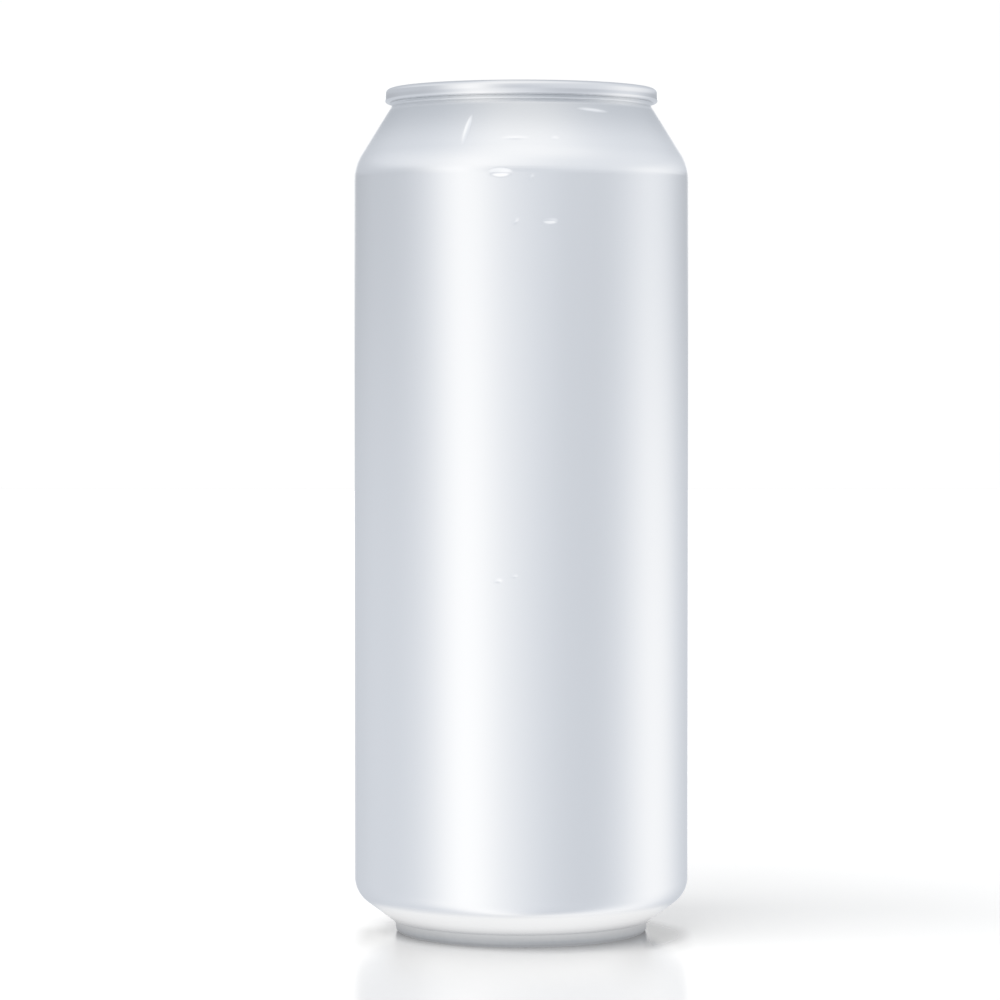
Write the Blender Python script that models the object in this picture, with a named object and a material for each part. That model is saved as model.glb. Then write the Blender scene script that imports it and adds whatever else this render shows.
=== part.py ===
"""A half-litre aluminium drinks can, shut, with a seamed end and a stay-on pull tab.

Frame: metres, +Z up, origin on the floor under the can's axis. The pour opening
faces -Y and the finger ring of the tab points to +Y.

Three pieces, as a can line makes them:
  can_body  one drawn and ironed cup: domed base, stand bead, chime, wall, neck
  can_end   the lid: double seam, chuck wall, countersink, panel, rivet
  pull_tab  the folded tab that the rivet holds

The can is shut and full, so the body is solid behind its outer skin and the end
is solid under its outer face. Working sizes below are in millimetres.
"""
import math

import bmesh
import bpy

MM = 0.001

# ---------------------------------------------------------------- shared sizes
CAN_HEIGHT = 167.6
SEGMENTS = 60
GAP = 0.3                      # air between two pieces that touch
ARC_STEP = math.radians(18.0)  # turn of one facet on a rounded edge

# ------------------------------------------------------------------------ body
WALL_R = 33.18
DOME_TOP_Z = 10.2
DOME_SPHERE_R = 45.0
DOME_EDGE_R = 21.6
LEG_FILLET = 0.8
STAND_INNER_R = 22.55
STAND_INNER_FILLET = 0.8
FOOT_R = 25.03
STAND_OUTER_FILLET = 0.9
CHIME_FOOT_Z = 2.0
CHIME_FOOT_FILLET = 2.0
CHIME_TOP_Z = 8.04
CHIME_TOP_FILLET = 5.4
SHOULDER_Z = 152.33
SHOULDER_FILLET = 9.7
NECK_ANGLE = math.radians(32.0)
NECK_R = 25.88
NECK_FILLET = 1.5
LIP_INNER_R = 25.65

# ------------------------------------------------------------------------- end
SEAM_R = 27.1
SEAM_BOTTOM_Z = 164.8
SEAM_TOP_FILLET = 0.6
SEAM_LOW_FILLET = 0.5
SEAM_INNER_R = 25.62
CHUCK_MID_R = 25.05
CHUCK_LOW_R = 24.0
COUNTERSINK_R = 22.9
COUNTERSINK_Z = 161.1
COUNTERSINK_FILLET = 0.5
PANEL_Z = 163.3
PANEL_FILLET = 0.5
PLUG_BOTTOM_Z = 160.4

# sunk field in the panel, the hull of two circles on the Y axis
FIELD_FRONT_Y = -5.0
FIELD_FRONT_R = 16.3
FIELD_REAR_Y = 10.0
FIELD_REAR_R = 10.8
FIELD_DEPTH = 0.35
FIELD_SLOPE = 0.5

# tear panel: a score line most of the way round and a stiffening bead inside
TEAR_Y = -11.7
TEAR_HALF_X = 12.2
TEAR_HALF_Y = 8.1
SCORE_WIDTH = 0.4
SCORE_DEPTH = 0.22
HINGE_FROM = math.radians(30.0)
HINGE_TO = math.radians(70.0)
BEAD_Y = -13.6
BEAD_HALF_X = 8.2
BEAD_HALF_Y = 3.9
BEAD_WIDTH = 1.3
BEAD_RISE = 0.3

# well under the finger ring
WELL_Y = 12.4
WELL_TOP_X = 7.4
WELL_TOP_Y = 5.4
WELL_FLOOR_X = 6.2
WELL_FLOOR_Y = 4.3
WELL_FLOOR_Z = 162.0

# rivet drawn up out of the panel
BOSS_LOW_R = 3.4
BOSS_TOP_R = 2.5
BOSS_TOP_Z = 163.6
STEM_R = 1.55
RIVET_HEAD_R = 2.7
RIVET_HEAD_Z = 164.65
RIVET_TOP_Z = 165.3

# ------------------------------------------------------------------------- tab
TAB_NOSE_Y = 0.8
TAB_NOSE_R = 8.0
TAB_TAIL_Y = 11.0
TAB_TAIL_R = 7.4
CURL_WIDTH = 1.6
CURL_LOW_Z = 163.4
CURL_TOP_Z = 164.9
WEB_LOW_Z = 163.9
WEB_TOP_Z = 164.35
RING_Y = 12.0
RING_HALF_X = 4.6
RING_HALF_Y = 3.3
RING_POWER = 2.6
RING_CURL = 1.2
RIVET_HOLE_R = STEM_R + GAP + 0.05
SLOT_INNER_R = 3.7
SLOT_OUTER_R = 4.4
SLOT_FROM = math.radians(-35.0)
SLOT_TO = math.radians(215.0)


# ------------------------------------------------------------- plane geometry
def rounded(corners):
    """Turn corner points (r, z, fillet) into a line with an arc at each corner."""
    line = []
    last = len(corners) - 1
    for index, (r, z, fillet) in enumerate(corners):
        if index in (0, last) or fillet == 0.0:
            line.append((r, z))
            continue
        before = corners[index - 1]
        after = corners[index + 1]
        angle_in = math.atan2(before[1] - z, before[0] - r)
        angle_out = math.atan2(after[1] - z, after[0] - r)
        turn = (angle_out - angle_in + math.pi) % (2.0 * math.pi) - math.pi
        half = abs(turn) / 2.0
        middle = angle_in + turn / 2.0
        centre_r = r + fillet / math.sin(half) * math.cos(middle)
        centre_z = z + fillet / math.sin(half) * math.sin(middle)
        reach = fillet / math.tan(half)
        start_r = r + reach * math.cos(angle_in)
        start_z = z + reach * math.sin(angle_in)
        end_r = r + reach * math.cos(angle_out)
        end_z = z + reach * math.sin(angle_out)
        first = math.atan2(start_z - centre_z, start_r - centre_r)
        final = math.atan2(end_z - centre_z, end_r - centre_r)
        sweep = (final - first + math.pi) % (2.0 * math.pi) - math.pi
        steps = max(2, math.ceil(abs(sweep) / ARC_STEP))
        for step in range(steps + 1):
            angle = first + sweep * step / steps
            line.append((centre_r + fillet * math.cos(angle), centre_z + fillet * math.sin(angle)))
    return line


def two_circle_hull(front_y, front_r, rear_y, rear_r, count):
    """Outline round two circles on the Y axis, as (x, y, normal x, normal y)."""
    lean = math.asin((front_r - rear_r) / (rear_y - front_y))
    path = []
    half = count // 2
    for step in range(half + 1):
        angle = lean + (math.pi - 2.0 * lean) * step / half
        normal = (math.cos(angle), math.sin(angle))
        path.append((rear_r * normal[0], rear_y + rear_r * normal[1], normal[0], normal[1]))
    for step in range(half + 1):
        angle = math.pi - lean + (math.pi + 2.0 * lean) * step / half
        normal = (math.cos(angle), math.sin(angle))
        path.append((front_r * normal[0], front_y + front_r * normal[1], normal[0], normal[1]))
    return path


def oval(centre_y, half_x, half_y, power, angles):
    """Points of a rounded oval centred on the Y axis, as (x, y, normal x, normal y)."""
    path = []
    for angle in angles:
        cos = math.cos(angle)
        sin = math.sin(angle)
        x = half_x * math.copysign(abs(cos) ** (2.0 / power), cos)
        y = half_y * math.copysign(abs(sin) ** (2.0 / power), sin)
        normal_x = math.copysign(abs(x / half_x) ** (power - 1.0) / half_x, x)
        normal_y = math.copysign(abs(y / half_y) ** (power - 1.0) / half_y, y)
        length = math.hypot(normal_x, normal_y)
        path.append((x, centre_y + y, normal_x / length, normal_y / length))
    return path


def full_turn(count):
    """Angles once round, starting half a step off the X axis."""
    return [2.0 * math.pi * (step + 0.5) / count for step in range(count)]


def part_turn(start, end, count):
    """Angles from start to end, both included."""
    return [start + (end - start) * step / count for step in range(count + 1)]


# ------------------------------------------------------------- mesh geometry
def finish_mesh(name, shape):
    """Write a bmesh in millimetres to a named object in metres."""
    bmesh.ops.recalc_face_normals(shape, faces=shape.faces)
    bmesh.ops.scale(shape, vec=(MM, MM, MM), verts=shape.verts)
    mesh = bpy.data.meshes.new(name)
    shape.to_mesh(mesh)
    shape.free()
    made = bpy.data.objects.new(name, mesh)
    bpy.context.scene.collection.objects.link(made)
    return made


def turned(name, profile, segments):
    """Spin an (r, z) line about Z. Points on the axis become one vertex."""
    shape = bmesh.new()
    rings = []
    for r, z in profile:
        if r == 0.0:
            rings.append([shape.verts.new((0.0, 0.0, z))])
            continue
        ring = []
        for step in range(segments):
            angle = 2.0 * math.pi * step / segments
            ring.append(shape.verts.new((r * math.cos(angle), r * math.sin(angle), z)))
        rings.append(ring)
    for low, high in zip(rings[:-1], rings[1:]):
        for step in range(segments):
            after = (step + 1) % segments
            if len(low) == 1:
                shape.faces.new((low[0], high[step], high[after]))
            elif len(high) == 1:
                shape.faces.new((low[step], low[after], high[0]))
            else:
                shape.faces.new((low[step], low[after], high[after], high[step]))
    return finish_mesh(name, shape)


def stacked(name, loops):
    """Join closed loops of points one above the other and cap both ends."""
    shape = bmesh.new()
    rows = [[shape.verts.new(point) for point in loop] for loop in loops]
    count = len(rows[0])
    for low, high in zip(rows[:-1], rows[1:]):
        for step in range(count):
            after = (step + 1) % count
            shape.faces.new((low[step], low[after], high[after], high[step]))
    shape.faces.new(rows[0])
    shape.faces.new(rows[-1])
    return finish_mesh(name, shape)


def swept(name, path, section, closed):
    """Carry a section of (offset along the normal, z) points along a flat path."""
    shape = bmesh.new()
    rows = []
    for x, y, normal_x, normal_y in path:
        row = []
        for offset, z in section:
            row.append(shape.verts.new((x + normal_x * offset, y + normal_y * offset, z)))
        rows.append(row)
    count = len(section)
    pairs = list(zip(rows[:-1], rows[1:]))
    if closed:
        pairs.append((rows[-1], rows[0]))
    for here, there in pairs:
        for step in range(count):
            after = (step + 1) % count
            shape.faces.new((here[step], here[after], there[after], there[step]))
    if not closed:
        shape.faces.new(rows[0])
        shape.faces.new(rows[-1])
    return finish_mesh(name, shape)


def level(path, z, inset):
    """A path as one flat loop of points, moved in along its normals."""
    return [(x - nx * inset, y - ny * inset, z) for x, y, nx, ny in path]


def curl_section(width, low_z, top_z, offset):
    """Flattened round section of a folded edge, its outer side at the offset."""
    middle = (low_z + top_z) / 2.0
    half_width = width / 2.0
    half_height = (top_z - low_z) / 2.0
    section = []
    for step in range(10):
        angle = 2.0 * math.pi * step / 10.0
        bulge = 2.0 / 2.6
        across = math.copysign(abs(math.cos(angle)) ** bulge, math.cos(angle))
        up = math.copysign(abs(math.sin(angle)) ** bulge, math.sin(angle))
        section.append((offset - half_width + half_width * across, middle + half_height * up))
    return section


def helper_collection(name, pieces):
    """Put building pieces in a collection of their own, hidden from renders."""
    group = bpy.data.collections.new(name)
    bpy.context.scene.collection.children.link(group)
    for piece in pieces:
        bpy.context.scene.collection.objects.unlink(piece)
        group.objects.link(piece)
        piece.hide_render = True
        piece.display_type = "WIRE"
    return group


def join_and_cut(target, joined, cut):
    """Union the first list of pieces on to the target, then cut the second away."""
    if joined:
        union = target.modifiers.new("join", "BOOLEAN")
        union.operation = "UNION"
        union.operand_type = "COLLECTION"
        union.collection = helper_collection(target.name + "_joined", joined)
        union.solver = "EXACT"
    if cut:
        difference = target.modifiers.new("cut", "BOOLEAN")
        difference.operation = "DIFFERENCE"
        difference.operand_type = "COLLECTION"
        difference.collection = helper_collection(target.name + "_cut", cut)
        difference.solver = "EXACT"


def metal(slot, color, roughness):
    """Bare aluminium in one flat tone."""
    material = bpy.data.materials.new(slot)
    material.use_nodes = True
    shader = material.node_tree.nodes["Principled BSDF"]
    shader.inputs["Base Color"].default_value = (color[0], color[1], color[2], 1.0)
    shader.inputs["Metallic"].default_value = 1.0
    shader.inputs["Roughness"].default_value = roughness
    return material


def finish_piece(piece, material):
    """Give a piece its material and smooth its round faces."""
    piece.data.materials.append(material)
    piece.data.shade_smooth()
    piece.data.set_sharp_from_angle(angle=math.radians(35.0))


# ------------------------------------------------------------------ the pieces
def dome_z(r):
    """Height of the pressed-in base dome at a distance from the axis."""
    return DOME_TOP_Z - DOME_SPHERE_R + math.sqrt(DOME_SPHERE_R ** 2 - r ** 2)


def build_body():
    """Drawn cup from the base dome out, up the wall and in over the neck."""
    dome = [(DOME_EDGE_R * step / 4.0, dome_z(DOME_EDGE_R * step / 4.0)) for step in range(4)]
    neck_z = SHOULDER_Z + (WALL_R - NECK_R) / math.tan(NECK_ANGLE)
    lip_z = SEAM_BOTTOM_Z - GAP
    seat_z = PLUG_BOTTOM_Z - GAP
    outside = rounded([
        (dome[-1][0], dome[-1][1], 0.0),
        (DOME_EDGE_R, dome_z(DOME_EDGE_R), LEG_FILLET),
        (STAND_INNER_R, 0.0, STAND_INNER_FILLET),
        (FOOT_R, 0.0, STAND_OUTER_FILLET),
        (FOOT_R, CHIME_FOOT_Z, CHIME_FOOT_FILLET),
        (WALL_R, CHIME_TOP_Z, CHIME_TOP_FILLET),
        (WALL_R, SHOULDER_Z, SHOULDER_FILLET),
        (NECK_R, neck_z, NECK_FILLET),
        (NECK_R, lip_z, 0.0),
    ])
    seat = [(LIP_INNER_R, lip_z), (LIP_INNER_R, seat_z), (0.0, seat_z)]
    return turned("can_body", dome[:-1] + outside + seat, SEGMENTS)


def build_end():
    """Lid with its seam, pressed features and rivet."""
    top = rounded([
        (0.0, PLUG_BOTTOM_Z, 0.0),
        (LIP_INNER_R - GAP, PLUG_BOTTOM_Z, 0.4),
        (LIP_INNER_R - GAP, SEAM_BOTTOM_Z, 0.0),
        (SEAM_R, SEAM_BOTTOM_Z, SEAM_LOW_FILLET),
        (SEAM_R, CAN_HEIGHT, SEAM_TOP_FILLET),
        (SEAM_INNER_R, CAN_HEIGHT, SEAM_TOP_FILLET),
        (CHUCK_MID_R, SEAM_BOTTOM_Z, 0.0),
        (CHUCK_LOW_R, COUNTERSINK_Z, COUNTERSINK_FILLET),
        (COUNTERSINK_R, COUNTERSINK_Z, COUNTERSINK_FILLET),
        (COUNTERSINK_R, PANEL_Z, PANEL_FILLET),
        (0.0, PANEL_Z, 0.0),
    ])
    end = turned("can_end", top, SEGMENTS)

    floor_z = PANEL_Z - FIELD_DEPTH
    field = two_circle_hull(FIELD_FRONT_Y, FIELD_FRONT_R, FIELD_REAR_Y, FIELD_REAR_R, 48)
    above = 0.2
    widening = FIELD_SLOPE * above / FIELD_DEPTH
    sunk_field = stacked("sunk_field", [
        level(field, floor_z, FIELD_SLOPE),
        level(field, PANEL_Z + above, -widening),
    ])
    well_floor = oval(WELL_Y, WELL_FLOOR_X, WELL_FLOOR_Y, 2.0, full_turn(36))
    well_top = oval(WELL_Y, WELL_TOP_X, WELL_TOP_Y, 2.0, full_turn(36))
    finger_well = stacked("finger_well", [
        level(well_floor, WELL_FLOOR_Z, 0.0),
        level(well_top, floor_z, 0.0),
        level(well_top, PANEL_Z + above, -0.3),
    ])
    score_angles = part_turn(HINGE_TO, HINGE_FROM + 2.0 * math.pi, 44)
    score_path = oval(TEAR_Y, TEAR_HALF_X, TEAR_HALF_Y, 2.2, score_angles)
    score_line = swept("score_line", score_path, [
        (0.0, floor_z - SCORE_DEPTH),
        (SCORE_WIDTH, floor_z + SCORE_DEPTH),
        (-SCORE_WIDTH, floor_z + SCORE_DEPTH),
    ], False)

    boss = [(0.0, floor_z - 0.5), (BOSS_LOW_R + 0.6, floor_z - 0.5), (BOSS_LOW_R, floor_z)]
    rivet_line = rounded([
        (BOSS_LOW_R, floor_z, 0.0),
        (BOSS_TOP_R, BOSS_TOP_Z, 0.3),
        (STEM_R, BOSS_TOP_Z, 0.0),
        (STEM_R, RIVET_HEAD_Z, 0.0),
        (RIVET_HEAD_R, RIVET_HEAD_Z, 0.0),
        (RIVET_HEAD_R, RIVET_TOP_Z, 0.35),
        (0.0, RIVET_TOP_Z, 0.0),
    ])
    rivet = turned("rivet", boss + rivet_line[1:], 24)
    bead_angles = part_turn(math.radians(160.0), math.radians(380.0), 24)
    bead_path = oval(BEAD_Y, BEAD_HALF_X, BEAD_HALF_Y, 2.2, bead_angles)
    half_bead = BEAD_WIDTH / 2.0
    tear_bead = swept("tear_bead", bead_path, [
        (half_bead, floor_z - 0.25),
        (half_bead, floor_z + 0.02),
        (half_bead * 0.5, floor_z + BEAD_RISE),
        (-half_bead * 0.5, floor_z + BEAD_RISE),
        (-half_bead, floor_z + 0.02),
        (-half_bead, floor_z - 0.25),
    ], False)
    pressing = end.modifiers.new("press", "BOOLEAN")
    pressing.operation = "DIFFERENCE"
    pressing.operand_type = "COLLECTION"
    pressing.collection = helper_collection("can_end_pressed", [sunk_field, finger_well])
    pressing.solver = "EXACT"
    join_and_cut(end, [rivet, tear_bead], [score_line])
    return end


def build_tab():
    """Folded tab: curled edge all round, a thin web, a finger ring, a rivet hole."""
    edge = two_circle_hull(TAB_NOSE_Y, TAB_NOSE_R, TAB_TAIL_Y, TAB_TAIL_R, 40)
    tab = swept("pull_tab", edge, curl_section(CURL_WIDTH, CURL_LOW_Z, CURL_TOP_Z, 0.0), True)
    web = stacked("web", [
        level(edge, WEB_LOW_Z, CURL_WIDTH / 2.0),
        level(edge, WEB_TOP_Z, CURL_WIDTH / 2.0),
    ])
    ring = oval(RING_Y, RING_HALF_X, RING_HALF_Y, RING_POWER, full_turn(32))
    ring_curl = swept("ring_curl", ring, curl_section(RING_CURL, CURL_LOW_Z, CURL_TOP_Z, RING_CURL), True)
    inside_curl = RING_CURL / 2.0
    finger_hole = stacked("finger_hole", [
        level(ring, WEB_LOW_Z - 1.0, -inside_curl),
        level(ring, WEB_TOP_Z + 1.0, -inside_curl),
    ])
    web_holes = web.modifiers.new("finger hole", "BOOLEAN")
    web_holes.operation = "DIFFERENCE"
    web_holes.object = finger_hole
    web_holes.solver = "EXACT"
    hole = oval(0.0, RIVET_HOLE_R, RIVET_HOLE_R, 2.0, full_turn(24))
    rivet_hole = stacked("rivet_hole", [
        level(hole, WEB_LOW_Z - 1.0, 0.0),
        level(hole, WEB_TOP_Z + 1.0, 0.0),
    ])
    middle_r = (SLOT_INNER_R + SLOT_OUTER_R) / 2.0
    half_slot = (SLOT_OUTER_R - SLOT_INNER_R) / 2.0
    slot_path = oval(0.0, middle_r, middle_r, 2.0, part_turn(SLOT_FROM, SLOT_TO, 22))
    island_slot = swept("island_slot", slot_path, [
        (half_slot, WEB_LOW_Z - 1.0),
        (half_slot, WEB_TOP_Z + 1.0),
        (-half_slot, WEB_TOP_Z + 1.0),
        (-half_slot, WEB_LOW_Z - 1.0),
    ], False)
    helper_collection("web_cutter", [finger_hole])
    join_and_cut(tab, [web, ring_curl], [rivet_hole, island_slot])
    return tab


def main():
    """Clear the file and build the can."""
    for old in list(bpy.data.objects):
        bpy.data.objects.remove(old, do_unlink=True)
    body_metal = metal("satin_aluminium", (0.80, 0.82, 0.85), 0.32)
    end_metal = metal("end_aluminium", (0.78, 0.79, 0.81), 0.28)
    tab_metal = metal("tab_aluminium", (0.80, 0.81, 0.82), 0.25)
    finish_piece(build_body(), body_metal)
    finish_piece(build_end(), end_metal)
    finish_piece(build_tab(), tab_metal)


main()
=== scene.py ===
# %% [markdown]
# # A bare aluminium half-litre can
#
# This lesson dresses a plain engineering model of a drinks can so that it looks like
# the real metal thing. The model arrives as three solids: the drawn body, the seamed
# end and the pull tab. Each is right in size but has few facets and no finish. We make
# a finer skin for each one, give every skin its own aluminium, and set up a pale
# studio with a camera.
#
# The order is the order a can factory would know: body, end, rivet, tab. Materials,
# the room and the camera come after.

# %% Load the model
import math

import bmesh
import bpy
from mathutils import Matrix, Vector
from mathutils.geometry import delaunay_2d_cdt
from mathutils.kdtree import KDTree


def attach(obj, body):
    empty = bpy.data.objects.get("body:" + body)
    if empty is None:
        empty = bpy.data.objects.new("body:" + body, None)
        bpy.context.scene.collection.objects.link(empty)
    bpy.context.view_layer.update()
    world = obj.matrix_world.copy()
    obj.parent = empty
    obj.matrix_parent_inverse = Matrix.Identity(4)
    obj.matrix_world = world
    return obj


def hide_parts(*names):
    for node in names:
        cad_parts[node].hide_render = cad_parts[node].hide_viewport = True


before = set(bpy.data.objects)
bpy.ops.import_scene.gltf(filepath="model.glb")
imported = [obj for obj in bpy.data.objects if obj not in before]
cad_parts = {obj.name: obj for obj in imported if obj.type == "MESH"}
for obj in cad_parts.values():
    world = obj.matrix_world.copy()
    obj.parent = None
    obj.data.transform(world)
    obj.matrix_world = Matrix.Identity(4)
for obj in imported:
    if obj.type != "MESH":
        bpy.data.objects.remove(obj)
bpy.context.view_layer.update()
print("solids:", sorted(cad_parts))

# %% [markdown]
# ## Working in millimetres
#
# Blender counts in metres, but a can is drawn in millimetres, so every size below is
# in millimetres and one helper scales the finished mesh. The helper also shades the
# faces smooth and keeps an edge sharp only where two faces meet at a steep angle.

# %% From a bmesh to a named piece
MM = 0.001
SHARP_ANGLE = math.radians(38.0)


def finish_piece(name, shape):
    """Turn a bmesh in millimetres into a smooth-shaded object in metres."""
    bmesh.ops.recalc_face_normals(shape, faces=shape.faces)
    bmesh.ops.scale(shape, vec=(MM, MM, MM), verts=shape.verts)
    mesh = bpy.data.meshes.new(name)
    shape.to_mesh(mesh)
    shape.free()
    mesh.shade_smooth()
    mesh.set_sharp_from_angle(angle=SHARP_ANGLE)
    piece = bpy.data.objects.new(name, mesh)
    bpy.context.scene.collection.objects.link(piece)
    print(name, "has", len(mesh.polygons), "faces")
    return piece


# %% [markdown]
# ## Rounded profiles
#
# Most of a can is turned: a flat line spun about the upright axis. Sheet metal never
# has a sharp fold. A Bevel modifier could round the corners, but a can has a different
# radius at each one, so the line is written as corner points with a fillet radius and
# this helper draws the arcs. A quad for every four degrees of bend is fine enough that
# a highlight slides over the fold without steps.

# %% Corners to a smooth line
BEND_STEP = math.radians(4.0)


def rounded(corners, bend_step=BEND_STEP):
    """Turn (radius, height, fillet) corners into a line with an arc at each corner."""
    line = []
    last = len(corners) - 1
    for index, (r, z, fillet) in enumerate(corners):
        if index in (0, last) or fillet == 0.0:
            line.append((r, z))
            continue
        before = corners[index - 1]
        after = corners[index + 1]
        angle_in = math.atan2(before[1] - z, before[0] - r)
        angle_out = math.atan2(after[1] - z, after[0] - r)
        turn = (angle_out - angle_in + math.pi) % (2.0 * math.pi) - math.pi
        half = abs(turn) / 2.0
        middle = angle_in + turn / 2.0
        centre = (r + fillet / math.sin(half) * math.cos(middle),
                  z + fillet / math.sin(half) * math.sin(middle))
        reach = fillet / math.tan(half)
        first = math.atan2(z + reach * math.sin(angle_in) - centre[1],
                           r + reach * math.cos(angle_in) - centre[0])
        final = math.atan2(z + reach * math.sin(angle_out) - centre[1],
                           r + reach * math.cos(angle_out) - centre[0])
        sweep = (final - first + math.pi) % (2.0 * math.pi) - math.pi
        steps = max(3, math.ceil(abs(sweep) / bend_step))
        for step in range(steps + 1):
            angle = first + sweep * step / steps
            line.append((centre[0] + fillet * math.cos(angle),
                         centre[1] + fillet * math.sin(angle)))
    return line


# %% [markdown]
# ## Spinning a profile
#
# Blender has a Screw modifier for this, but spinning by hand keeps the ring of points
# at each height in our hands. That matters twice: the end's ring has to meet a pressed
# panel point for point, and the wall gets small dents pushed into its own rings.

# %% Spin a line about the axis
def even_angles(count):
    """Angles round the axis, all the same step apart."""
    return [2.0 * math.pi * step / count for step in range(count)]


def spin(shape, line, angles):
    """Add a turned surface to a bmesh and give back its rings of vertices."""
    rings = []
    for r, z in line:
        if r == 0.0:
            rings.append([shape.verts.new((0.0, 0.0, z))])
        else:
            rings.append([shape.verts.new((r * math.cos(a), r * math.sin(a), z)) for a in angles])
    for low, high in zip(rings[:-1], rings[1:]):
        for step in range(len(angles)):
            after = (step + 1) % len(angles)
            if len(low) == 1:
                shape.faces.new((low[0], high[step], high[after]))
            elif len(high) == 1:
                shape.faces.new((low[step], low[after], high[0]))
            else:
                shape.faces.new((low[step], low[after], high[after], high[step]))
    return rings


# %% [markdown]
# ## The body
#
# A can body is one cup drawn from a disc and ironed thin. From the middle of the base
# outwards it has a pressed-in dome, a leg that drops to the narrow stand bead, a
# slanted chime, the straight wall, a soft shoulder and the neck. At the top the neck
# turns out into the flange that the end is seamed to, and behind its lip a seat leaves
# room for the end's plug.
#
# A subdivided cage could make this shape too, but it would blur the small radii at the
# foot and the neck, which catch the light. A turned profile keeps each one exact.

# %% Body sizes
WALL_R = 33.175
DOME_TOP_Z = 10.2
DOME_SPHERE_R = 45.0
DOME_EDGE_R = 21.6
DOME_STEPS = 12
STAND_INNER_R = 22.55
FOOT_R = 25.03
CHIME_FOOT_Z = 2.0
CHIME_TOP_Z = 8.04
SHOULDER_Z = 152.33
NECK_ANGLE = math.radians(32.0)
NECK_R = 25.72
FLANGE_R = 26.2
FLANGE_Z = 164.78
LIP_INNER_R = 25.65
PLUG_BOTTOM_Z = 160.4
GAP = 0.3
BODY_SECTORS = 216


def dome_z(r):
    """Height of the base dome at a distance from the axis."""
    return DOME_TOP_Z - DOME_SPHERE_R + math.sqrt(DOME_SPHERE_R ** 2 - r ** 2)


dome_radii = [DOME_EDGE_R * step / DOME_STEPS for step in range(DOME_STEPS)]
dome_line = [(r, dome_z(r)) for r in dome_radii]
neck_z = SHOULDER_Z + (WALL_R - NECK_R) / math.tan(NECK_ANGLE)
body_line = dome_line[:-1] + rounded([
    (*dome_line[-1], 0.0),
    (DOME_EDGE_R, dome_z(DOME_EDGE_R), 0.8),
    (STAND_INNER_R, 0.0, 0.8),
    (FOOT_R, 0.0, 0.9),
    (FOOT_R, CHIME_FOOT_Z, 2.0),
    (WALL_R, CHIME_TOP_Z, 5.4),
    (WALL_R, SHOULDER_Z, 9.7),
    (NECK_R, neck_z, 0.3),
    (FLANGE_R, FLANGE_Z, 0.0),
    (LIP_INNER_R, FLANGE_Z, 0.0),
    (LIP_INNER_R, PLUG_BOTTOM_Z - GAP, 0.0),
    (0.0, PLUG_BOTTOM_Z - GAP, 0.0),
])
print("body profile has", len(body_line), "points")

# %% [markdown]
# ### Small dents
#
# Empty cans travel bare and knock each other, so a real wall has a few shallow dings
# that flash when the light catches them. Each one here is a lens-shaped hollow pushed
# straight into the wall. The metal is rubbed bright inside it, so every point also
# keeps a number, `scuff`, that the body's material reads later.
#
# Bump alone could fake them, but a dent bends the reflections of the whole room, so
# real depth looks better. The wall's long quads are too coarse for that, and only the
# sectors and the rows that a dent touches are divided further.

# %% Dents
DENTS = [
    # bearing, height, half length, half breadth, depth, lean of the long axis
    (-20.9, 157.9, 3.1, 0.65, 0.11, 85.0),
    (30.2, 161.95, 3.6, 0.40, 0.07, -4.0),
    (-2.6, 156.2, 3.0, 0.45, 0.04, 0.0),
    (11.7, 156.2, 0.9, 0.45, 0.04, 0.0),
    (-7.2, 149.5, 2.6, 0.95, 0.14, 0.0),
    (3.0, 148.6, 0.8, 0.45, 0.05, 60.0),
    (-2.1, 140.1, 0.9, 0.45, 0.05, 55.0),
    (9.2, 140.3, 1.7, 0.60, 0.15, 0.0),
    (-8.0, 71.6, 1.0, 0.50, 0.06, 0.0),
    (-2.6, 72.5, 0.8, 0.40, 0.05, 0.0),
    (137.0, 96.0, 1.4, 0.60, 0.08, 30.0),
    (-128.0, 121.0, 1.3, 0.80, 0.10, -65.0),
    (88.0, 32.0, 1.7, 0.60, 0.08, 8.0),
]
BRIGHT_DEPTH = 0.12
COARSE_ROW = 4.0
FINE_ROW = 0.22
FINE_COLUMNS = 4


def dent_reach(half_length, half_breadth, lean):
    """Half size of a leaning lens round the can and up it."""
    cos = math.cos(math.radians(lean))
    sin = math.sin(math.radians(lean))
    return (math.hypot(half_length * cos, half_breadth * sin),
            math.hypot(half_length * sin, half_breadth * cos))


def bearing_gap(bearing, other):
    """Turn from one bearing to another, from -180 to 180 degrees."""
    return (bearing - other + 180.0) % 360.0 - 180.0


def dented(x, y, z):
    """Depth of the dents at a point of the wall, and how far inside one it is."""
    radius = math.hypot(x, y)
    depth = 0.0
    inside = 0.0
    for bearing, height, half_length, half_breadth, deep, lean in DENTS:
        up = z - height
        across = math.radians(bearing_gap(math.degrees(math.atan2(x, -y)), bearing)) * radius
        if max(abs(across), abs(up)) > half_length or radius < LIP_INNER_R:
            continue
        cos = math.cos(math.radians(lean))
        sin = math.sin(math.radians(lean))
        along = (across * cos + up * sin) / half_length
        over = (up * cos - across * sin) / half_breadth
        lens = max(0.0, 1.0 - along ** 2 - over ** 2)
        depth += deep * lens ** 2
        inside = max(inside, lens * min(1.0, deep / BRIGHT_DEPTH))
    return depth, inside


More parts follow.
